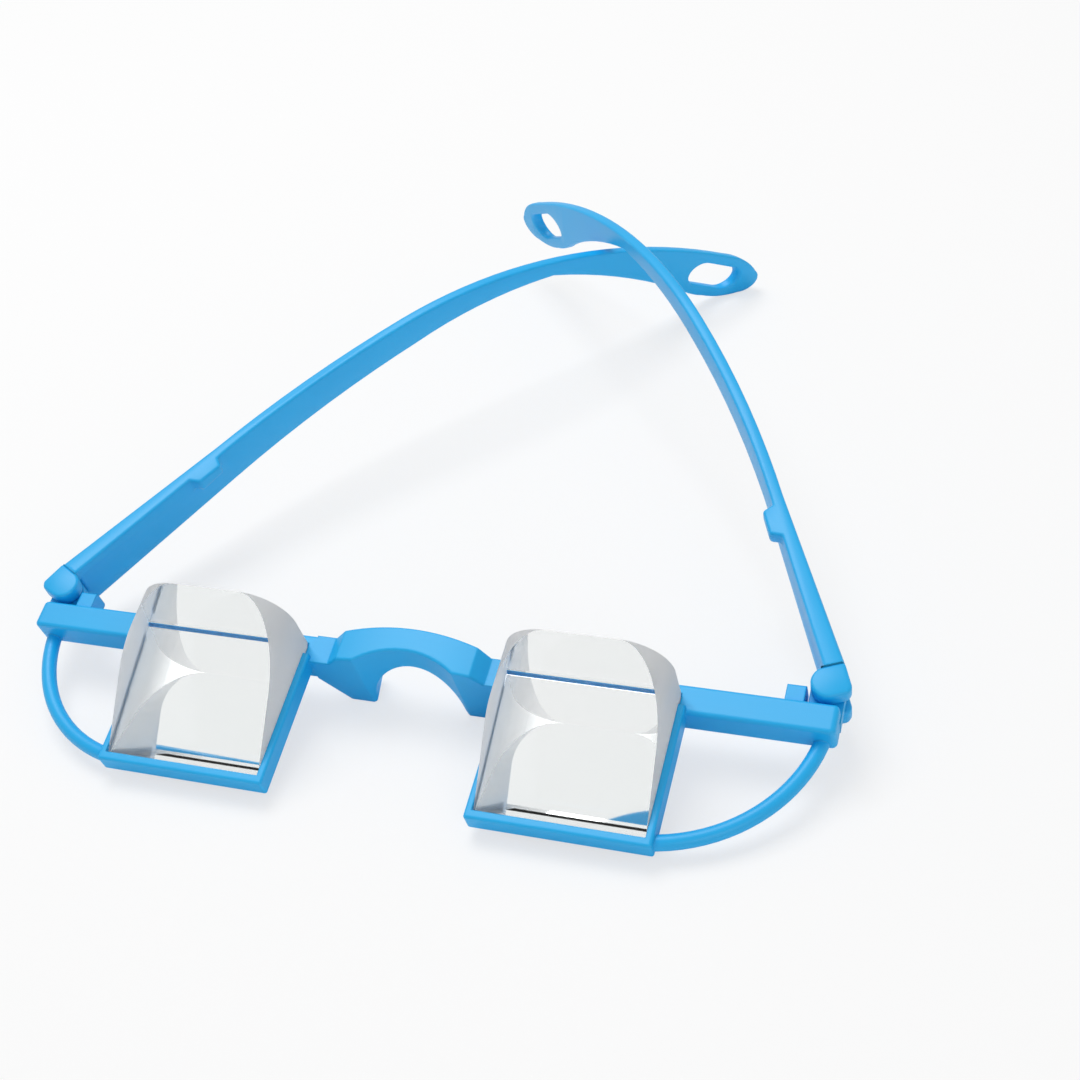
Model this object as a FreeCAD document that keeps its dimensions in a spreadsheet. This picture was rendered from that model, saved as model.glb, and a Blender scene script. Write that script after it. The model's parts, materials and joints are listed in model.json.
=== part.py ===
import FreeCAD, Part
import math
import os

import Sketcher
from FreeCAD import Placement, Rotation, Vector

# Belay prism glasses: two heavy 60 degree glass prisms held in shallow trays on one moulded
# front, with two folding arms. The wearer looks level into the upright rear face of each prism
# and sees up the cliff through the long sloping face.
#
# The pieces are laid out in the optical frame: X runs across the face with the wearer's left at
# +X, Y runs backwards from the sharp front edge of the prisms, and Z is up from their mirrored
# bottom faces. At the end everything is set down on its nose pads and one arm tip.

doc = FreeCAD.newDocument("BelayPrismGlasses")
sheet = doc.addObject("Spreadsheet::Sheet", "Sizes")

DRIVING_SIZES = {
    # prisms
    "prism_width": 28.0,
    "prism_height": 15.0,
    "prism_corner": 8.0,
    "prism_bevel": 0.5,
    "prism_front_flat": 0.25,
    "prism_spacing": 65.7,
    "prism_play": 0.12,
    # what lies under each prism
    "coat_gap": 0.03,
    "coat_thickness": 0.05,
    "bed_thickness": 1.0,
    # tray round each prism
    "tray_wall": 1.15,
    "tray_lip_depth": 1.25,
    "tray_bottom": 2.8,
    "rail_rise": 1.0,
    "tray_edge_radius": 0.45,
    # brow bar
    "bar_half_length": 72.0,
    "bar_front": 22.6,
    "bar_back": 27.8,
    "bar_height": 5.6,
    "bar_radius": 0.7,
    "bar_end_radius": 1.5,
    # loops from the bar's ends to the trays
    "loop_bar_inset": 2.4,
    "loop_bar_drop": 4.2,
    "loop_tray_overlap": 0.52,
    "loop_tray_setback": 0.5,
    "loop_tray_drop": 1.35,
    "loop_bend_radius": 28.0,
    "loop_thickness": 2.6,
    # nose saddle
    "saddle_half_width": 14.2,
    "saddle_crown_radius": 71.0,
    "saddle_front_radius": 15.6,
    "saddle_rear_radius": 51.4,
    "saddle_shoulder": 2.2,
    "pad_drop": 12.0,
    "pad_outer": 12.8,
    "pad_inner": 8.9,
    "pad_web": 17.6,
    "nose_top": 2.7,
    "nose_top_radius": 7.4,
    "nose_flare": 2.4,
    "saddle_edge_radius": 0.4,
    # hinges
    "hinge_inset": 2.5,
    "hinge_reach": 3.4,
    "hinge_lean": 3.0,
    "knuckle_radius": 2.8,
    "knuckle_gap": 0.3,
    "tongue_top": -2.4,
    "tongue_bottom": -5.6,
    "lug_inset": 5.9,
    "lug_width": 3.1,
    "lug_reach": 3.2,
    "lug_drop": 1.0,
    "driver_slot": 0.5,
    "driver_depth": 0.5,
    "pin_radius": 0.8,
    "pin_running_fit": 0.05,
    "pin_top": -0.6,
    "screw_head_radius": 1.45,
    "screw_head_height": 0.9,
    "insert_radius": 1.35,
    # arms
    "arm_thickness": 2.2,
    "arm_root_thickness": 3.4,
    "arm_top": 0.84,
    "arm_root_height": 10.2,
    "arm_slope": 5.31,
    "arm_straight": 39.3,
    "arm_inward_radius": 260,
    "arm_inward_turn": 29.5,
    "ear_bend_start": 85.8,
    "ear_bend_radius": 124,
    "arm_height_at_bend": 6.8,
    "arm_neck_turn": 21.6,
    "arm_neck_height": 3.7,
    "neck_hollow_radius": 120.0,
    "paddle_belly": 5.0,
    "paddle_belly_radius": 14.0,
    "paddle_tip": 9.2,
    "paddle_tip_half": 3.2,
    "paddle_tip_radius": 3.4,
    "paddle_height": 11.0,
    "eyelet_turn": 41.4,
    "eyelet_length": 12.6,
    "eyelet_height": 5.8,
    "nub_reach": 34.1,
    "nub_length": 7.0,
    "nub_depth": 2.0,
    "nub_height": 2.6,
    "nub_slant": 0.9,
    "arm_edge_radius": 0.5,
    # pose in which the glasses lie
    "fold_left": 24.1,
    "fold_right": 26.5,
    "stance_tilt": 17.59,
}


class Size:
    """A number together with the sheet formula that gives it."""

    def __init__(self, value, formula):
        self.value = value
        self.formula = formula

    def combine(self, other, sign, value):
        if not isinstance(other, Size):
            other = Size(other, repr(float(other)))
        return Size(value(self.value, other.value), f"({self.formula} {sign} {other.formula})")

    def __add__(self, other):
        return self.combine(other, "+", lambda a, b: a + b)

    def __sub__(self, other):
        return self.combine(other, "-", lambda a, b: a - b)

    def __mul__(self, other):
        return self.combine(other, "*", lambda a, b: a * b)

    def __truediv__(self, other):
        return self.combine(other, "/", lambda a, b: a / b)

    def __neg__(self):
        return self * -1


def fill_sheet():
    for row, (name, number) in enumerate(DRIVING_SIZES.items(), start=1):
        sheet.set(f"A{row}", name)
        sheet.set(f"B{row}", str(number))
        sheet.setAlias(f"B{row}", name)
    doc.recompute()


def size(name):
    return Size(DRIVING_SIZES[name], f"Sizes.{name}")


def bind(thing, path, amount):
    thing.setExpression(path, amount.formula)


fill_sheet()
NOTHING = size("prism_width") * 0
HALF = size("prism_width") / 2
HEIGHT = size("prism_height")
DEPTH = HEIGHT * math.sqrt(3)
BED_TOP = -(size("coat_gap") + size("coat_thickness"))
FLOOR = BED_TOP - size("bed_thickness")


def sine(angle):
    return Size(math.sin(math.radians(angle.value)), f"sin({angle.formula} * 1 deg)")


def cosine(angle):
    return Size(math.cos(math.radians(angle.value)), f"cos({angle.formula} * 1 deg)")


def arc_middle(start, end, radius):
    """Middle point of the short arc; a positive radius bulges to the left of the way walked."""
    chord = end - start
    left = Vector(-chord.y, chord.x, 0).normalize()
    rise = abs(radius) - math.sqrt(max(radius ** 2 - (chord.Length / 2) ** 2, 0))
    return (start + end) * 0.5 + left * rise * (1 if radius > 0 else -1)


def draw_outline(sketch, corners):
    """Closed outline. Each corner is (across, up) or (across, up, radius of the arc that follows)."""
    spots = [Vector(corner[0].value, corner[1].value, 0) for corner in corners]
    first_ends = []
    for index, corner in enumerate(corners):
        start = spots[index]
        end = spots[(index + 1) % len(spots)]
        clockwise = len(corner) == 3 and corner[2].value > 0
        if len(corner) == 3:
            middle = arc_middle(start, end, corner[2].value)
            line = Part.Arc(end, middle, start) if clockwise else Part.Arc(start, middle, end)
        else:
            line = Part.LineSegment(start, end)
        sketch.addGeometry(line, False)
        first_ends.append(2 if clockwise else 1)
    for index, corner in enumerate(corners):
        after = (index + 1) % len(corners)
        last_end = 3 - first_ends[index]
        sketch.addConstraint(Sketcher.Constraint("Coincident", index, last_end, after, first_ends[after]))
    for index, corner in enumerate(corners):
        for kind, amount in (("DistanceX", corner[0]), ("DistanceY", corner[1])):
            which = sketch.addConstraint(
                Sketcher.Constraint(kind, -1, 1, index, first_ends[index], amount.value)
            )
            bind(sketch, f"Constraints[{which}]", amount)
        if len(corner) == 3:
            radius = corner[2] if corner[2].value > 0 else -corner[2]
            which = sketch.addConstraint(Sketcher.Constraint("Radius", index, radius.value))
            bind(sketch, f"Constraints[{which}]", radius)


PLANE_TURNS = {
    "XY": Rotation(),
    "XZ": Rotation(Vector(1, 0, 0), 90),
    "YZ": Rotation(Vector(1, 1, 1), 120),
}
PLANE_AXES = {"XY": "z", "XZ": "y", "YZ": "x"}


def slab(name, plane, corners, near, far):
    """Outline drawn in one plane and made solid from near to far along the third axis."""
    sketch = doc.addObject("Sketcher::SketchObject", f"{name}_outline")
    sketch.Placement = Placement(Vector(), PLANE_TURNS[plane])
    bind(sketch, f"Placement.Base.{PLANE_AXES[plane]}", far if plane == "XZ" else near)
    draw_outline(sketch, corners)
    solid = doc.addObject("Part::Extrusion", name)
    solid.Base = sketch
    solid.DirMode = "Normal"
    solid.Solid = True
    bind(solid, "LengthFwd", far - near)
    return solid


def block(name, left, right, front, back, bottom, top):
    box = doc.addObject("Part::Box", name)
    for path, amount in (
        ("Length", right - left),
        ("Width", back - front),
        ("Height", top - bottom),
        ("Placement.Base.x", left),
        ("Placement.Base.y", front),
        ("Placement.Base.z", bottom),
    ):
        bind(box, path, amount)
    return box


def post(name, radius, across, along, bottom, top):
    """Upright cylinder."""
    cylinder = doc.addObject("Part::Cylinder", name)
    for path, amount in (
        ("Radius", radius),
        ("Height", top - bottom),
        ("Placement.Base.x", across),
        ("Placement.Base.y", along),
        ("Placement.Base.z", bottom),
    ):
        bind(cylinder, path, amount)
    return cylinder


def joined(name, pieces):
    fuse = doc.addObject("Part::MultiFuse", name)
    fuse.Shapes = pieces
    fuse.Refine = False
    return fuse


def cut_away(name, base, tool):
    cut = doc.addObject("Part::Cut", name)
    cut.Base = base
    cut.Tool = tool
    return cut


def shared(name, first, second):
    common = doc.addObject("Part::Common", name)
    common.Base = first
    common.Tool = second
    return common


def edge_direction(edge):
    middle = (edge.FirstParameter + edge.LastParameter) / 2
    return edge.tangentAt(middle)


def soften(name, solid, radius, wanted):
    """Rounds the edges for which wanted(edge) is true."""
    doc.recompute()
    picked = [number for number, edge in enumerate(solid.Shape.Edges, start=1) if wanted(edge)]
    fillet = doc.addObject("Part::Fillet", name)
    fillet.Base = solid
    fillet.Edges = [(number, radius.value, radius.value) for number in picked]
    return fillet


def runs_along(axis):
    return lambda edge: abs(edge_direction(edge).dot(axis)) > 0.999


SIDES = {"left": 1, "right": -1}
LENS_CENTRE = size("prism_spacing") / 2
TRAY_HALF = HALF + size("prism_play") + size("tray_wall")
POCKET_HALF = HALF + size("prism_play")
HINGE_HALF_SPAN = size("bar_half_length") - size("hinge_inset")
HINGE_SETBACK = size("bar_back") + size("hinge_reach")


def prism(side):
    """Glass bar with a 30-60-90 section and two rounded top corners."""
    body = doc.addObject("PartDesign::Body", f"prism_{side}")
    origin_plane = {plane.Role: plane for plane in body.Origin.OriginFeatures}
    section = body.newObject("Sketcher::SketchObject", f"prism_{side}_section")
    section.AttachmentSupport = [(origin_plane["YZ_Plane"], "")]
    section.MapMode = "FlatFace"
    bevel = size("prism_bevel")
    blunt = size("prism_front_flat")
    draw_outline(section, [
        (blunt * math.sqrt(3), NOTHING),
        (DEPTH - bevel, NOTHING),
        (DEPTH, bevel),
        (DEPTH, HEIGHT),
        (blunt * math.sqrt(3), blunt),
    ])
    bar = body.newObject("PartDesign::Pad", f"prism_{side}_bar")
    bar.Profile = section
    bar.Midplane = True
    bind(bar, "Length", size("prism_width"))
    doc.recompute()
    corner = body.newObject("Sketcher::SketchObject", f"prism_{side}_corner")
    corner.AttachmentSupport = [(origin_plane["XZ_Plane"], "")]
    corner.MapMode = "FlatFace"
    round_from = HALF - size("prism_corner")
    round_to = HEIGHT - size("prism_corner")
    draw_outline(corner, [
        (round_from, HEIGHT),
        (round_from, HEIGHT + 1),
        (HALF + 1, HEIGHT + 1),
        (HALF + 1, round_to),
        (HALF, round_to, -size("prism_corner")),
    ])
    rounding = body.newObject("PartDesign::Pocket", f"prism_{side}_rounding")
    rounding.Profile = corner
    rounding.Type = "ThroughAll"
    rounding.Midplane = True
    doc.recompute()
    other = body.newObject("PartDesign::Mirrored", f"prism_{side}_other_corner")
    other.Originals = [rounding]
    other.MirrorPlane = (origin_plane["YZ_Plane"], [""])
    body.Tip = other
    body.Placement.Base = Vector(LENS_CENTRE.value * SIDES[side], 0, 0)
    return body


def under_prism(name, side, top, bottom):
    """Flat layer of the prism's outline, a little smaller than its mirrored face."""
    body = doc.addObject("PartDesign::Body", f"{name}_{side}")
    plane = [feature for feature in body.Origin.OriginFeatures if feature.Role == "XY_Plane"][0]
    sketch = body.newObject("Sketcher::SketchObject", f"{name}_{side}_outline")
    sketch.AttachmentSupport = [(plane, "")]
    sketch.MapMode = "FlatFace"
    front = size("prism_front_flat") * 2
    back = DEPTH - size("prism_bevel")
    draw_outline(sketch, [(-HALF, front), (HALF, front), (HALF, back), (-HALF, back)])
    pad = body.newObject("PartDesign::Pad", f"{name}_{side}_layer")
    pad.Profile = sketch
    bind(pad, "Length", top - bottom)
    body.Placement.Base = Vector(LENS_CENTRE.value * SIDES[side], 0, bottom.value)
    return body


def tray(side):
    centre = LENS_CENTRE * SIDES[side]
    shell = block(
        f"tray_{side}_shell",
        centre - TRAY_HALF,
        centre + TRAY_HALF,
        -size("tray_lip_depth"),
        size("bar_front") + 1,
        -size("tray_bottom"),
        size("rail_rise"),
    )

    ahead_of_bar = DRIVING_SIZES["bar_front"] - DRIVING_SIZES["bar_radius"]

    def outer(edge):
        middle = edge.BoundBox.Center
        upright = runs_along(Vector(0, 0, 1))(edge) and middle.y < 0
        below = abs(middle.z + DRIVING_SIZES["tray_bottom"]) < 0.01 and middle.y < ahead_of_bar
        above = abs(middle.z - DRIVING_SIZES["rail_rise"]) < 0.01 and middle.y < ahead_of_bar
        return upright or below or above

    return soften(f"tray_{side}", shell, size("tray_edge_radius"), outer)


def tray_pocket(side):
    """Room for the prism: floor just under the bed, open behind and above."""
    centre = LENS_CENTRE * SIDES[side]
    return block(
        f"tray_{side}_pocket",
        centre - POCKET_HALF,
        centre + POCKET_HALF,
        NOTHING + 0.2,
        DEPTH + size("prism_play"),
        FLOOR,
        HEIGHT,
    )


def brow_bar(side):
    inner = size("saddle_half_width")
    outer = size("bar_half_length")
    left, right = (inner, outer) if SIDES[side] > 0 else (-outer, -inner)
    blank = block(
        f"brow_bar_{side}_blank", left, right, size("bar_front"), size("bar_back"), -size("bar_height"), NOTHING
    )
    far_side = SIDES[side] * outer.value
    long_edges = soften(f"brow_bar_{side}_long", blank, size("bar_radius"), runs_along(Vector(1, 0, 0)))

    def end_edge(edge):
        return abs(edge.BoundBox.Center.x - far_side) < 0.01

    return soften(f"brow_bar_{side}", long_edges, size("bar_end_radius") * 0.6, end_edge)


def side_loop(side):
    """Round bow from under the bar's end, forward and in to the front corner of the tray."""
    sign = SIDES[side]
    start = Vector(
        sign * (size("bar_half_length") - size("loop_bar_inset")).value,
        DRIVING_SIZES["bar_front"],
        -DRIVING_SIZES["loop_bar_drop"],
    )
    end = Vector(
        sign * (LENS_CENTRE + TRAY_HALF - size("loop_tray_overlap")).value,
        DRIVING_SIZES["loop_tray_setback"],
        -DRIVING_SIZES["loop_tray_drop"],
    )
    radius = DRIVING_SIZES["loop_bend_radius"]
    chord = end - start
    half_turn = math.degrees(math.asin(chord.Length / 2 / radius))
    flat_normal = Vector(0, 0, 1)
    outward = chord.cross(flat_normal).normalize() * sign * -1
    lift = chord.cross(outward).normalize()
    centre = (start + end) * 0.5 - outward * radius * math.cos(math.radians(half_turn))
    bow = doc.addObject("Part::Torus", f"loop_{side}")
    bind(bow, "Radius1", size("loop_bend_radius"))
    bind(bow, "Radius2", size("loop_thickness") / 2)
    bow.Angle3 = 2 * half_turn + 6
    toward_start = (start - centre).normalize()
    sideways = lift.cross(toward_start)
    turn = Rotation(toward_start, sideways, lift, "XZY")
    if sideways.dot(end - start) < 0:
        turn = Rotation(toward_start, -sideways, -lift, "XZY")
    bow.Placement = Placement(centre, turn.multiply(Rotation(Vector(0, 0, 1), -3)))
    return bow


def saddle():
    """Nose saddle: an arched front outline with two pads, bowed back in plan."""
    half = size("saddle_half_width")
    pad_low = -size("pad_drop")
    web = size("pad_web")
    shoulder = size("saddle_shoulder")
    face = slab("saddle_face", "XZ", [
        (-web, -size("bar_height")),
        (-size("pad_outer"), pad_low),
        (size("pad_outer"), pad_low),
        (web, -size("bar_height")),
        (web, NOTHING),
        (half, NOTHING),
        (half - shoulder, shoulder, -size("saddle_crown_radius")),
        (-half + shoulder, shoulder),
        (-half, NOTHING),
        (-web, NOTHING),
    ], size("bar_front") - 2, size("bar_back") + 6)
    bowed = size("pad_inner")
    plan = slab("saddle_plan", "XY", [
        (-web, size("bar_front")),
        (-bowed, size("bar_front"), size("saddle_front_radius")),
        (bowed, size("bar_front")),
        (web, size("bar_front")),
        (web, size("bar_back")),
        (half, size("bar_back"), -size("saddle_rear_radius")),
        (-half, size("bar_back")),
        (-web, size("bar_back")),
    ], pad_low - 1, size("bar_height"))
    return shared("saddle_blank", face, plan)


def hinge_place(side):
    """Frame of one hinge: its Z is the pin's axis, which leans towards the wearer's left."""
    spot = Vector(SIDES[side] * HINGE_HALF_SPAN.value, HINGE_SETBACK.value, 0)
    return Placement(spot, Rotation(Vector(0, 1, 0), DRIVING_SIZES["hinge_lean"]))


def nose_arch():
    """Room for the nose: an arch that widens towards the face."""
    outlines = []
    for which, depth, flare in (
        ("front", size("bar_front") - 3, NOTHING),
        ("rear", size("bar_back") + 6, size("nose_flare")),
    ):
        sketch = doc.addObject("Sketcher::SketchObject", f"nose_arch_{which}")
        sketch.Placement = Placement(Vector(), PLANE_TURNS["XZ"])
        bind(sketch, "Placement.Base.y", depth)
        radius = size("nose_top_radius") + flare
        foot = size("pad_inner") + flare
        top = -size("nose_top") + flare * 0.3
        spring = top - radius
        draw_outline(sketch, [
            (-foot, -size("pad_drop") - 3),
            (foot, -size("pad_drop") - 3),
            (radius, spring, -radius),
            (NOTHING, top, -radius),
            (-radius, spring),
        ])
        outlines.append(sketch)
    loft = doc.addObject("Part::Loft", "nose_arch")
    loft.Sections = outlines
    loft.Solid = True
    loft.Ruled = True
    return loft


def hinge_tongue(side):
    """Round tongue on the back of the bar's end, for the hinge pin."""
    barrel = post(
        f"tongue_{side}_barrel", size("knuckle_radius"), NOTHING, NOTHING, size("tongue_bottom"), size("tongue_top")
    )
    neck = block(
        f"tongue_{side}_neck",
        -size("knuckle_radius"),
        size("knuckle_radius"),
        -size("hinge_reach") - 2,
        NOTHING,
        size("tongue_bottom"),
        size("tongue_top"),
    )
    bore = post(
        f"tongue_{side}_bore",
        size("pin_radius") + size("pin_running_fit"),
        NOTHING,
        NOTHING,
        size("tongue_bottom") - 1,
        size("tongue_top") + 1,
    )
    tongue = cut_away(f"tongue_{side}", joined(f"tongue_{side}_solid", [barrel, neck]), bore)
    tongue.Placement = hinge_place(side)
    return tongue


def hinge_lug(side):
    """Small lug just inward of the knuckles."""
    outer = size("bar_half_length") - size("lug_inset")
    inner = outer - size("lug_width")
    left, right = (inner, outer) if SIDES[side] > 0 else (-outer, -inner)
    blank = block(
        f"lug_{side}_blank",
        left,
        right,
        size("bar_back") - 1,
        size("bar_back") + size("lug_reach"),
        -size("bar_height") + 0.8,
        -size("lug_drop"),
    )
    return soften(f"lug_{side}", blank, size("arm_edge_radius"), runs_along(Vector(1, 0, 0)))


def front_frame():
    arched = cut_away("saddle_arched", saddle(), nose_arch())
    half = DRIVING_SIZES["saddle_half_width"]

    def between_necks(edge):
        return abs(edge.BoundBox.Center.x) < half - 0.05

    pieces = [soften("saddle", arched, size("saddle_edge_radius"), between_necks)]
    holes = []
    for side in SIDES:
        pieces += [brow_bar(side), side_loop(side), tray(side), hinge_tongue(side), hinge_lug(side)]
        holes.append(tray_pocket(side))
    solid = joined("front_frame_solid", pieces)
    openings = joined("front_frame_openings", holes)
    return cut_away("front_frame", solid, openings)


def at_turn(radius, turn, offset):
    """Point on the ear bend of the arm's top line, offset square to it (down is negative)."""
    first = size("arm_slope")
    across = size("ear_bend_start") + radius * (sine(turn) - sine(first)) + offset * sine(turn)
    fall = size("ear_bend_start") * sine(first) / cosine(first)
    up = size("arm_top") - fall - radius * (cosine(first) - cosine(turn)) + offset * cosine(turn)
    return across, up


def laid_along(centre, turn, spots):
    """Outline spots (along the arm, up, bend) turned down by the arm's slope and moved to a centre."""
    corners = []
    for along, up, *bend in spots:
        across = centre[0] + along * cosine(turn) + up * sine(turn)
        height = centre[1] - along * sine(turn) + up * cosine(turn)
        corners.append((across, height, *bend))
    return corners


def eyelet_spots():
    """Round-ended slot."""
    radius = size("eyelet_height") / 2
    half = (size("eyelet_length") - size("eyelet_height")) / 2
    return [
        (-half, -radius),
        (half, -radius, -radius),
        (half + radius, NOTHING, -radius),
        (half, radius),
        (-half, radius, -radius),
        (-half - radius, NOTHING, -radius),
    ]


def paddle_spots():
    """Lower side and tip of the flat end plate, which widens and then tapers to a rounded tip."""
    half = size("paddle_height") / 2
    tip = size("paddle_tip")
    tip_half = size("paddle_tip_half")
    belly = size("paddle_belly_radius")
    return [
        (-size("paddle_belly"), -half + 0.4, -belly),
        (NOTHING + 1, -half, -belly),
        (tip, -tip_half, -size("paddle_tip_radius")),
        (tip, tip_half, -belly),
    ]


def arm_blank():
    """Left arm in its hinge frame: straight at first, then bent in and down to an eyelet paddle."""
    knuckle = size("knuckle_radius")
    thickness = size("arm_thickness")
    root_thickness = size("arm_root_thickness")
    inward = size("arm_inward_radius")
    turn = size("arm_inward_turn")
    straight = size("arm_straight")
    centre = thickness - inward
    nub_start = size("nub_reach") - size("nub_length") / 2
    nub_end = size("nub_reach") + size("nub_length") / 2
    slant = size("nub_slant")
    bend = size("ear_bend_radius")
    eyelet = size("eyelet_turn")
    reach_down = size("paddle_height") + size("paddle_tip") - at_turn(bend, eyelet, NOTHING)[1]
    band = slab("arm_band", "XY", [
        (NOTHING, knuckle / 4),
        (root_thickness, knuckle),
        (thickness, straight, -inward),
        (centre + inward * cosine(turn), straight + inward * sine(turn)),
        (centre + (inward - thickness) * cosine(turn), straight + (inward - thickness) * sine(turn),
         inward - thickness),
        (NOTHING, straight),
        (NOTHING, nub_end),
        (-size("nub_depth"), nub_end - slant),
        (-size("nub_depth"), nub_start + slant),
        (NOTHING, nub_start),
    ], -reach_down, size("arm_top") + 2)

    top = size("arm_top")
    slope = sine(size("arm_slope")) / cosine(size("arm_slope"))
    start = size("ear_bend_start")
    middle = at_turn(bend, eyelet, -size("paddle_height") / 2)
    inner_limit = -reach_down
    outer_limit = root_thickness + 1
    neck = size("arm_neck_turn")
    low = top - size("arm_root_height")
    neck_height = size("arm_neck_height")
    side_view = slab("arm_side", "YZ", [
        (NOTHING, low + 1),
        (knuckle, low),
        (start, top - start * slope - size("arm_height_at_bend"), bend * 0.95),
        (*at_turn(bend, neck, -neck_height), size("neck_hollow_radius")),
        *laid_along(middle, eyelet, paddle_spots()),
        (*at_turn(bend, eyelet, NOTHING), -bend),
        (start, top - start * slope),
        (NOTHING, top),
    ], inner_limit, outer_limit)
    hole = slab("eyelet_side", "YZ", laid_along(middle, eyelet, eyelet_spots()), inner_limit, outer_limit)
    profile = cut_away("arm_profile", side_view, hole)
    plate = shared("arm_plate", band, profile)
    below_nub = block(
        "below_nub", -size("nub_depth") - 1, NOTHING, nub_start - 1, nub_end + 1,
        -reach_down, top - size("nub_reach") * slope - size("nub_height"),
    )
    barrel = slab("arm_barrel", "XY", [
        (NOTHING, -knuckle),
        (root_thickness - slant, -knuckle),
        (root_thickness, -knuckle + slant),
        (root_thickness, knuckle),
        (NOTHING, knuckle, -knuckle),
        (-knuckle, NOTHING, -knuckle),
    ], low, top)
    return joined("arm_blank", [cut_away("arm_plate_with_nub", plate, below_nub), barrel])


def hinge_cuts():
    """Slot for the tongue, bore for the pin, recess for its head and seat for the insert."""
    gap = size("knuckle_gap")
    low = size("arm_top") - size("arm_root_height")
    slot_bottom = size("tongue_bottom") - gap
    slot_top = size("tongue_top") + gap
    reach = size("knuckle_radius") + gap
    return joined("hinge_cuts", [
        post("slot_round", reach, NOTHING, NOTHING, slot_bottom, slot_top),
        block("slot_front", -reach - 1, reach + 1, -reach - 1, NOTHING, slot_bottom, slot_top),
        post("pin_bore", size("pin_radius"), NOTHING, NOTHING, low - 1, slot_top),
        post("head_recess", size("screw_head_radius"), NOTHING, NOTHING, low - 1, low + size("screw_head_height")),
        post("insert_seat", size("insert_radius"), NOTHING, NOTHING, slot_top - 0.5, size("pin_top")),
    ])


def mirrored(name, source):
    twin = doc.addObject("Part::Mirroring", name)
    twin.Source = source
    twin.Normal = Vector(1, 0, 0)
    twin.Base = Vector()
    return twin


def turned_body(name, outline):
    """Round piece made by turning an outline (radius, height) about the pin's axis."""
    body = doc.addObject("PartDesign::Body", name)
    planes = {feature.Role: feature for feature in body.Origin.OriginFeatures}
    section = body.newObject("Sketcher::SketchObject", f"{name}_section")
    section.AttachmentSupport = [(planes["XZ_Plane"], "")]
    section.MapMode = "FlatFace"
    draw_outline(section, outline)
    turn = body.newObject("PartDesign::Revolution", f"{name}_turned")
    turn.Profile = section
    turn.ReferenceAxis = (section, ["V_Axis"])
    turn.Angle = 360
    doc.recompute()
    return body, planes


def hinge_screw(side):
    low = size("arm_top") - size("arm_root_height")
    head = low + size("screw_head_height")
    body, planes = turned_body(f"hinge_screw_{side}", [
        (NOTHING, low),
        (size("screw_head_radius"), low),
        (size("screw_head_radius"), head),
        (size("pin_radius"), head),
        (size("pin_radius"), size("pin_top")),
        (NOTHING, size("pin_top")),
    ])
    driver = body.newObject("Sketcher::SketchObject", f"hinge_screw_{side}_cross")
    driver.AttachmentSupport = [(planes["XZ_Plane"], "")]
    driver.MapMode = "FlatFace"
    half = size("driver_slot") / 2
    depth = low + size("driver_depth")
    draw_outline(driver, [(-half, low - 1), (half, low - 1), (half, depth), (-half, depth)])
    slot = body.newObject("PartDesign::Pocket", f"hinge_screw_{side}_slot")
    slot.Profile = driver
    slot.Type = "ThroughAll"
    slot.Midplane = True
    doc.recompute()
    body.Tip = slot
    return body


def hinge_insert(side):
    bottom = size("tongue_top") + size("knuckle_gap")
    body, planes = turned_body(f"hinge_insert_{side}", [
        (size("pin_radius"), bottom),
        (size("insert_radius"), bottom),
        (size("insert_radius"), size("pin_top")),
        (size("pin_radius"), size("pin_top")),
    ])
    return body


nodes = {}
nodes["front_frame"] = front_frame()
for side in SIDES:
    nodes[f"prism_{side}"] = prism(side)
    nodes[f"mirror_coat_{side}"] = under_prism("mirror_coat", side, -size("coat_gap"), BED_TOP)
    nodes[f"prism_bed_{side}"] = under_prism("prism_bed", side, BED_TOP, FLOOR)

blank = arm_blank()
cuts = hinge_cuts()
for side, sign in SIDES.items():
    source = blank if sign > 0 else mirrored("arm_blank_mirrored", blank)
    arm = cut_away(f"arm_{side}", source, cuts)
    fold = Rotation(Vector(0, 0, 1), sign * DRIVING_SIZES[f"fold_{side}"])
    place = hinge_place(side).multiply(Placement(Vector(), fold))
    for piece in (arm, hinge_screw(side), hinge_insert(side)):
        piece.Placement = place
        nodes[piece.Name] = piece

doc.recompute()

# set down on the nose pads and one arm tip, bottom centre of its bounding box at the origin
tilt = Placement(Vector(), Rotation(Vector(1, 0, 0), DRIVING_SIZES["stance_tilt"]))
for node in nodes.values():
    node.Placement = tilt.multiply(node.Placement)
doc.recompute()
box = FreeCAD.BoundBox()
for node in nodes.values():
    box.add(node.Shape.optimalBoundingBox(False, False))
shift = Placement(Vector(-box.Center.x, -box.Center.y, -box.ZMin), Rotation())
for node in nodes.values():
    node.Placement = shift.multiply(node.Placement)
doc.recompute()
print("whole size", [round(length, 3) for length in (box.XLength, box.YLength, box.ZLength)])
print("shift", [round(length, 4) for length in shift.Base])

for thing in doc.Objects:
    for word in ("Invalid", "Error"):
        if word in thing.State:
            raise RuntimeError(f"{thing.Name} is {word}")
os.makedirs("parts", exist_ok=True)
for name, node in nodes.items():
    node.Label = name
    if node.Shape.isNull() or not node.Shape.isValid():
        raise RuntimeError(f"{name} has no sound shape")
    node.Shape.exportStep(f"parts/{name}.step")
    print(name, len(node.Shape.Solids), "solid", round(node.Shape.Volume, 2), "mm3")
for side in SIDES:
    pin = shift.multiply(tilt).multiply(hinge_place(side))
    axis = pin.Rotation.multVec(Vector(0, 0, 1))
    print(f"hinge_{side}", [round(length, 4) for length in pin.Base], [round(part, 6) for part in axis])
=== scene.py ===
# %% [markdown]
# # Belay prism glasses
#
# These glasses let a person who holds a climber's rope look level and still see up the rock. Two
# heavy glass wedges do the work. One moulded blue front carries them, and two blue arms fold at
# small screwed hinges. This lesson dresses the finished solids. Their shapes stay as they are, apart
# from the arms' edges, which are rounded; the light, the camera and the finishes are made here.

# %% Load the solids
import json
import math

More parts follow.
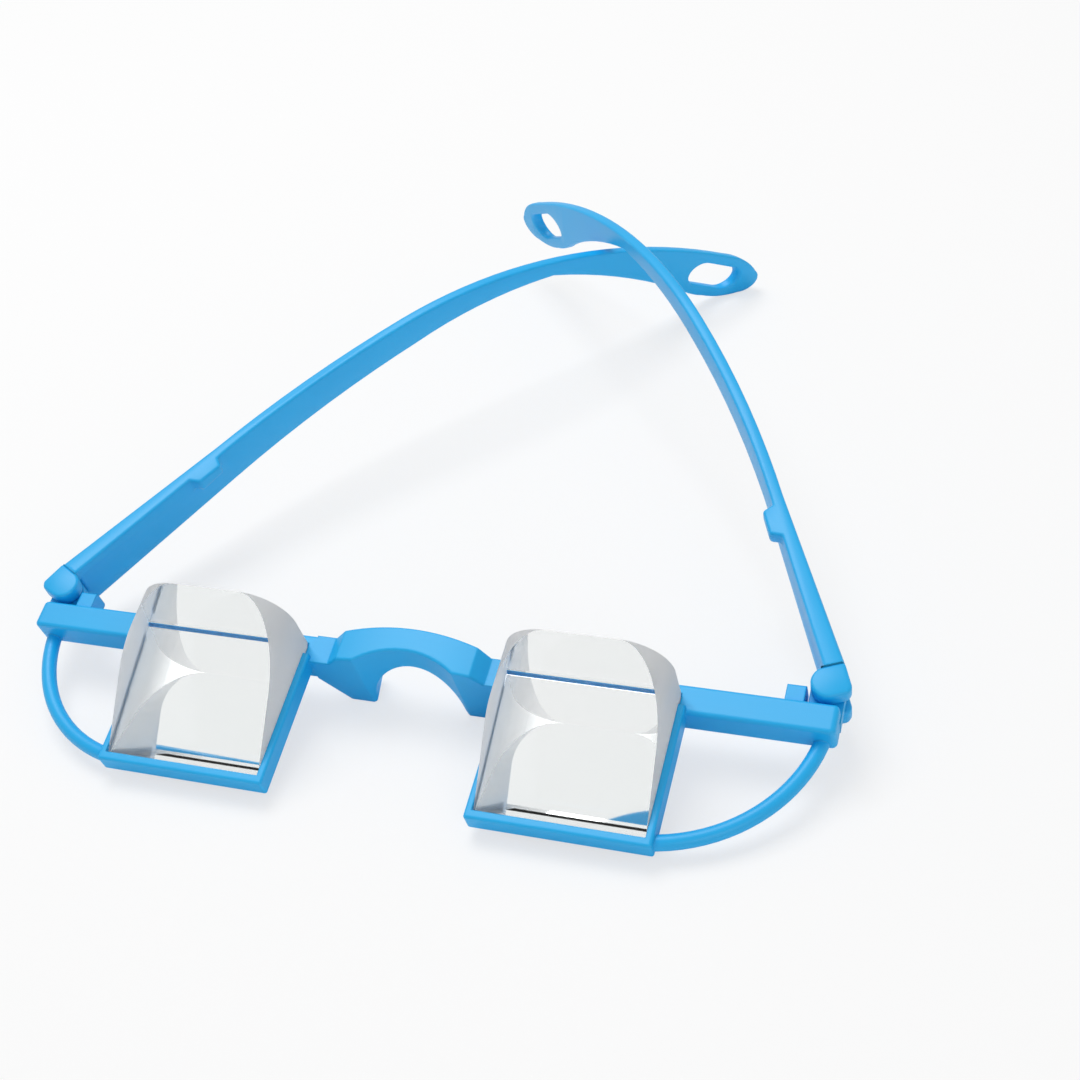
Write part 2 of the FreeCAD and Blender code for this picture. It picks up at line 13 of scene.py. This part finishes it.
import bpy
from mathutils import Matrix, Vector


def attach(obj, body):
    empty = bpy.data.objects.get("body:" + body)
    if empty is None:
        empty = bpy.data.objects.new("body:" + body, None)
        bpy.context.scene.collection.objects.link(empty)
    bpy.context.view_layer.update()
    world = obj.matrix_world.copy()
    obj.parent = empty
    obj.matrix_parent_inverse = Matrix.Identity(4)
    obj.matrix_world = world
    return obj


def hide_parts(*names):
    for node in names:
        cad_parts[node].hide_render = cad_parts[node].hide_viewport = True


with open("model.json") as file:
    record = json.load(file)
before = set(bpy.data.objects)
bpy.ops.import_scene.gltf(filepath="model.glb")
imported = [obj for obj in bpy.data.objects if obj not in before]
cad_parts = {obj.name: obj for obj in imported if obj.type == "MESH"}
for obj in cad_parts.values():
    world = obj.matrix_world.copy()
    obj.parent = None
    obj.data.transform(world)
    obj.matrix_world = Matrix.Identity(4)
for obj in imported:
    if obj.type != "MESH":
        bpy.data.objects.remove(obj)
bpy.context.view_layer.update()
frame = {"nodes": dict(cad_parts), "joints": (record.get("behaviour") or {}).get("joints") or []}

nodes = frame["nodes"]

# %% [markdown]
# ## The optical frame
#
# The glasses lie folded on their nose pads and on one arm's tip, so the flat bottoms of the glass
# wedges lean forward. It is easier to think in the wedges' own frame, where the mirrored bottom
# is level. Both hinge pins stand upright in that frame, apart from a small sideways lean, so the
# lean of a hinge axis gives the tilt, and the hinges' places give the rest.

# %% Work out how the glasses lie
hinges = [joint for joint in frame["joints"] if joint["type"] == "hinge"]
pin_axis = Vector(hinges[0]["axis"])
lie_tilt = math.atan2(-pin_axis.y, pin_axis.z)
lie_turn = Matrix.Rotation(lie_tilt, 3, "X")
between_hinges = sum((Vector(joint["pos_m"]) for joint in hinges), Vector()) / len(hinges)
PINS_BEHIND_EDGE = 0.0312
lie_shift = between_hinges - lie_turn @ Vector((0, PINS_BEHIND_EDGE, 0))
print("tilt", round(math.degrees(lie_tilt), 2), "shift", tuple(lie_shift))

# %% [markdown]
# ## Shades from noise
#
# No moulding or metal is one flat colour. Every finish below starts from the same small recipe: a
# noise pattern, laid on Object coordinates so that it stays with the piece, mixes two close
# shades, and the same noise varies the roughness a little.


# %% A helper for two close shades
NOISE_DETAIL = 3.0


def shaded_finish(name, light, dark, grain, rough_from, rough_to):
    """New material whose colour and roughness drift between two values. Returns its surface too."""
    finish = bpy.data.materials.new(name)
    finish.use_nodes = True
    tree = finish.node_tree
    surface = tree.nodes["Principled BSDF"]
    where = tree.nodes.new("ShaderNodeTexCoord")
    noise = tree.nodes.new("ShaderNodeTexNoise")
    noise.inputs["Scale"].default_value = grain
    noise.inputs["Detail"].default_value = NOISE_DETAIL
    tree.links.new(where.outputs["Object"], noise.inputs["Vector"])
    mix = tree.nodes.new("ShaderNodeMix")
    mix.data_type = "RGBA"
    mix.inputs["A"].default_value = (*dark, 1)
    mix.inputs["B"].default_value = (*light, 1)
    tree.links.new(noise.outputs["Fac"], mix.inputs["Factor"])
    tree.links.new(mix.outputs["Result"], surface.inputs["Base Color"])
    spread = tree.nodes.new("ShaderNodeMapRange")
    spread.inputs["To Min"].default_value = rough_from
    spread.inputs["To Max"].default_value = rough_to
    tree.links.new(noise.outputs["Fac"], spread.inputs["Value"])
    tree.links.new(spread.outputs["Result"], surface.inputs["Roughness"])
    print("finish", name)
    return finish, surface


# %% [markdown]
# ## Blue moulding
#
# The front and the arms are one satin blue plastic. A mould leaves a very fine grain and rounds
# every edge a little. The grain is a faint bump. The front already has its large fillets, so a
# Bevel node softens only the shading of its last sharp edges. The arms get real rounding further on.

# %% Blue plastic
MOULD_ROUNDING = 0.0004
GRAIN_HEIGHT = 0.00002
GRAIN_SCALE = 1800
GRAIN_STRENGTH = 0.35
PLASTIC_IOR = 1.49
ROUNDING_SAMPLES = 6
blue_plastic, blue_surface = shaded_finish(
    "blue plastic", (0.010, 0.47, 0.92), (0.006, 0.41, 0.84), 55, 0.34, 0.44
)
blue_surface.inputs["IOR"].default_value = PLASTIC_IOR
tree = blue_plastic.node_tree
rounding = tree.nodes.new("ShaderNodeBevel")
rounding.samples = ROUNDING_SAMPLES
rounding.inputs["Radius"].default_value = MOULD_ROUNDING
mould_grain = tree.nodes.new("ShaderNodeTexNoise")
mould_grain.inputs["Scale"].default_value = GRAIN_SCALE
place = tree.nodes.new("ShaderNodeTexCoord")
tree.links.new(place.outputs["Object"], mould_grain.inputs["Vector"])
bump = tree.nodes.new("ShaderNodeBump")
bump.inputs["Distance"].default_value = GRAIN_HEIGHT
bump.inputs["Strength"].default_value = GRAIN_STRENGTH
tree.links.new(mould_grain.outputs["Fac"], bump.inputs["Height"])
tree.links.new(rounding.outputs["Normal"], bump.inputs["Normal"])
tree.links.new(bump.outputs["Normal"], blue_surface.inputs["Normal"])

# %% [markdown]
# ## Glass
#
# Each wedge is clear glass. Its sloping face, its upright rear face and its bottom are polished;
# the sides and the two rounded corners are only ground, and look white. A ground face scatters
# light both ways, so a rough, half-clear white surface is mixed with one that glows from behind.

# %% Polished and ground glass
GLASS_IOR = 1.517
CLEAR_SHARE = 0.45
GLOW_SHARE = 0.5
polished_glass, glass_surface = shaded_finish(
    "polished glass", (1.0, 1.0, 1.0), (0.97, 0.99, 0.985), 20, 0.0, 0.01
)
glass_surface.inputs["IOR"].default_value = GLASS_IOR
glass_surface.inputs["Transmission Weight"].default_value = 1.0
ground_glass, ground_surface = shaded_finish(
    "ground glass", (0.99, 0.99, 0.99), (0.94, 0.95, 0.96), 300, 0.42, 0.6
)
ground_surface.inputs["IOR"].default_value = GLASS_IOR
ground_surface.inputs["Transmission Weight"].default_value = CLEAR_SHARE
tree = ground_glass.node_tree
passing = tree.nodes.new("ShaderNodeBsdfTranslucent")
scatter = tree.nodes.new("ShaderNodeMixShader")
scatter.inputs[0].default_value = GLOW_SHARE
tree.links.new(ground_surface.outputs[0], scatter.inputs[1])
tree.links.new(passing.outputs[0], scatter.inputs[2])
tree.links.new(scatter.outputs[0], tree.nodes["Material Output"].inputs["Surface"])

# %% [markdown]
# ## Silvering, bed and fittings
#
# Silver under each wedge turns the light back up. A pale bed of glue holds it in its tray. The
# hinges have steel screws in brass inserts.

# %% The small finishes
silvering, silver_surface = shaded_finish(
    "silvering", (0.93, 0.93, 0.93), (0.89, 0.9, 0.905), 40, 0.015, 0.04
)
silver_surface.inputs["Metallic"].default_value = 1.0
pale_bed, _ = shaded_finish("pale bed", (0.86, 0.88, 0.9), (0.78, 0.8, 0.83), 250, 0.5, 0.7)
screw_steel, steel_surface = shaded_finish(
    "screw steel", (0.66, 0.67, 0.69), (0.5, 0.51, 0.53), 900, 0.22, 0.4
)
steel_surface.inputs["Metallic"].default_value = 1.0
insert_brass, brass_surface = shaded_finish(
    "insert brass", (0.78, 0.58, 0.26), (0.62, 0.44, 0.18), 700, 0.25, 0.42
)
brass_surface.inputs["Metallic"].default_value = 1.0

# %% [markdown]
# ## Putting the finishes on
#
# Left and right pieces share a finish, so a name without its side is enough to look it up.

# %% Dress the solids
FINISH_OF = {
    "front_frame": blue_plastic,
    "arm": blue_plastic,
    "prism": polished_glass,
    "mirror_coat": silvering,
    "prism_bed": pale_bed,
    "hinge_screw": screw_steel,
    "hinge_insert": insert_brass,
}
for name, node in nodes.items():
    kind = name.removesuffix("_left").removesuffix("_right")
    node.data.materials.clear()
    node.data.materials.append(FINISH_OF[kind])
print("dressed", len(nodes), "solids")

# %% [markdown]
# ## Rounded arms
#
# The real arms have clearly rounded edges, which catch a bright line of light. Each arm's solid is
# plain edged, so a copy of it stands in: the loose triangles are merged, flat areas are joined
# into whole faces, and a Bevel modifier rounds the sharp edges. The copy rides on the same body.

# %% Round the edges of the arms
EDGE_ROUND = 0.0005
ROUND_STEPS = 3
SAME_POINT = 0.000005
FLAT_WITHIN = math.radians(0.5)
SHARP_FROM = math.radians(35)
SMOOTH_UP_TO = math.radians(40)
for side in ("left", "right"):
    solid = nodes[f"arm_{side}"]
    arm = bpy.data.objects.new(f"rounded_arm_{side}", solid.data.copy())
    bpy.context.scene.collection.objects.link(arm)
    bpy.ops.object.select_all(action="DESELECT")
    arm.select_set(True)
    bpy.context.view_layer.objects.active = arm
    bpy.ops.object.mode_set(mode="EDIT")
    bpy.ops.mesh.select_all(action="SELECT")
    bpy.ops.mesh.remove_doubles(threshold=SAME_POINT)
    bpy.ops.mesh.dissolve_limited(angle_limit=FLAT_WITHIN)
    bpy.ops.object.mode_set(mode="OBJECT")
    rounder = arm.modifiers.new("edges", "BEVEL")
    rounder.width = EDGE_ROUND
    rounder.segments = ROUND_STEPS
    rounder.limit_method = "ANGLE"
    rounder.angle_limit = SHARP_FROM
    rounder.use_clamp_overlap = False
    bpy.ops.object.modifier_apply(modifier=rounder.name)
    bpy.ops.object.shade_smooth_by_angle(angle=SMOOTH_UP_TO)
    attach(arm, f"{side}_arm")
    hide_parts(f"arm_{side}")
    print(arm.name, len(arm.data.polygons), "faces")

# %% [markdown]
# ## Ground sides
#
# A wedge needs two finishes. Each of its faces is turned back into the optical frame, and a face
# that looks even a little sideways, as a side or a rounded corner does, gets the ground finish.

# %% Grind the sides of the wedges
LOOKS_SIDEWAYS = 0.02
back_to_optical = lie_turn.transposed()
for name in ("prism_left", "prism_right"):
    mesh = nodes[name].data
    mesh.materials.append(ground_glass)
    ground = 0
    for face in mesh.polygons:
        looks = back_to_optical @ face.normal
        face.material_index = 1 if abs(looks.x) > LOOKS_SIDEWAYS else 0
        ground += face.material_index
    print(name, "ground faces", ground, "of", len(mesh.polygons))

# %% [markdown]
# ## Floor and light
#
# The photograph is a plain white one. The floor is pale, and mixes in plain white for the camera
# only, so that it looks white and still takes the shadow. One large soft lamp hangs over the
# glasses, and the world lights the rest.

# %% Floor
FLOOR_WIDTH = 30.0
WHITENING = 0.65
bpy.ops.object.select_all(action="DESELECT")
bpy.ops.mesh.primitive_plane_add(size=FLOOR_WIDTH, location=(0, 0, 0))
floor = bpy.context.object
floor.name = "floor"
floor_finish, floor_surface = shaded_finish(
    "pale floor", (0.93, 0.93, 0.93), (0.9, 0.9, 0.905), 3, 0.8, 0.9
)
tree = floor_finish.node_tree
rays = tree.nodes.new("ShaderNodeLightPath")
share = tree.nodes.new("ShaderNodeMath")
share.operation = "MULTIPLY"
share.inputs[1].default_value = WHITENING
tree.links.new(rays.outputs["Is Camera Ray"], share.inputs[0])
white = tree.nodes.new("ShaderNodeEmission")
white.inputs["Strength"].default_value = 1.0
blend = tree.nodes.new("ShaderNodeMixShader")
tree.links.new(share.outputs[0], blend.inputs[0])
tree.links.new(floor_surface.outputs[0], blend.inputs[1])
tree.links.new(white.outputs[0], blend.inputs[2])
tree.links.new(blend.outputs[0], tree.nodes["Material Output"].inputs["Surface"])
floor.data.materials.append(floor_finish)
print("floor", FLOOR_WIDTH, "m wide")

# %% [markdown]
# ## World
#
# The world is plain white. Seen by the camera or through glass it is full white, and as a light it
# is weaker, so that the lamp still shapes the arms.

# %% World
SKY_LIGHT = 0.5
SEEN_WHITE = 1.0
world = bpy.data.worlds.new("white room")
bpy.context.scene.world = world
world.use_nodes = True
tree = world.node_tree
rays = tree.nodes.new("ShaderNodeLightPath")
seen = tree.nodes.new("ShaderNodeMath")
seen.operation = "MAXIMUM"
tree.links.new(rays.outputs["Is Camera Ray"], seen.inputs[0])
tree.links.new(rays.outputs["Is Transmission Ray"], seen.inputs[1])
level = tree.nodes.new("ShaderNodeMapRange")
level.inputs["To Min"].default_value = SKY_LIGHT
level.inputs["To Max"].default_value = SEEN_WHITE
tree.links.new(seen.outputs[0], level.inputs["Value"])
backdrop = tree.nodes["Background"]
backdrop.inputs["Color"].default_value = (1, 1, 1, 1)
tree.links.new(level.outputs["Result"], backdrop.inputs["Strength"])
print("world light", SKY_LIGHT)


# %% [markdown]
# ## Lamps
#
# A softbox is a large lamp: the larger it is, the softer its shadow. One hangs above, one fills in.

# %% Lamps
def soft_lamp(name, spot, target, width, power):
    """Large square lamp that looks at a point."""
    light = bpy.data.lights.new(name, "AREA")
    light.size = width
    light.energy = power
    lamp = bpy.data.objects.new(name, light)
    lamp.location = spot
    lamp.rotation_euler = (Vector(spot) - Vector(target)).to_track_quat("Z", "Y").to_euler()
    bpy.context.scene.collection.objects.link(lamp)
    print(name, power, "W")
    return lamp


soft_lamp("overhead softbox", (-0.25, 0.2, 0.85), (0, 0, 0), 0.55, 4.4)
soft_lamp("front fill", (0.6, -0.8, 0.45), (0, 0, 0.02), 0.5, 1.4)

# %% [markdown]
# ## Camera
#
# The photograph was taken from the front, above and a little to the wearer's left. The place and
# the lens were found from the corners of the wedges, in the optical frame, and are carried into
# this frame by the same turn and shift as the solids.

# %% Camera
VIEW_AZIMUTH = 0.5348
VIEW_HEIGHT = 0.9340
VIEW_ROLL = -0.3359
CAMERA_SPOT = Vector((0.10773, -0.10278, 0.24325))
LENS = 58.4
SENSOR_WIDTH = 36.0
toward_camera = Vector((
    math.sin(VIEW_AZIMUTH) * math.cos(VIEW_HEIGHT),
    -math.cos(VIEW_AZIMUTH) * math.cos(VIEW_HEIGHT),
    math.sin(VIEW_HEIGHT),
))
level_right = Vector((math.cos(VIEW_AZIMUTH), math.sin(VIEW_AZIMUTH), 0))
level_up = toward_camera.cross(level_right)
right = math.cos(VIEW_ROLL) * level_right + math.sin(VIEW_ROLL) * level_up
up = math.cos(VIEW_ROLL) * level_up - math.sin(VIEW_ROLL) * level_right
facing = Matrix((right, up, toward_camera)).transposed()
camera = bpy.data.objects.new("camera", bpy.data.cameras.new("camera"))
bpy.context.scene.collection.objects.link(camera)
camera.data.lens = LENS
camera.data.sensor_width = SENSOR_WIDTH
camera.matrix_world = Matrix.Translation(lie_turn @ CAMERA_SPOT + lie_shift) @ (lie_turn @ facing).to_4x4()
bpy.context.scene.camera = camera
print("camera at", tuple(round(part, 4) for part in camera.matrix_world.translation))

# %% [markdown]
# ## Colour
#
# The Standard view shows a colour about as it is written, which suits a product on white.

# %% Colour management
bpy.context.scene.view_settings.view_transform = "Standard"
print("view", bpy.context.scene.view_settings.view_transform)
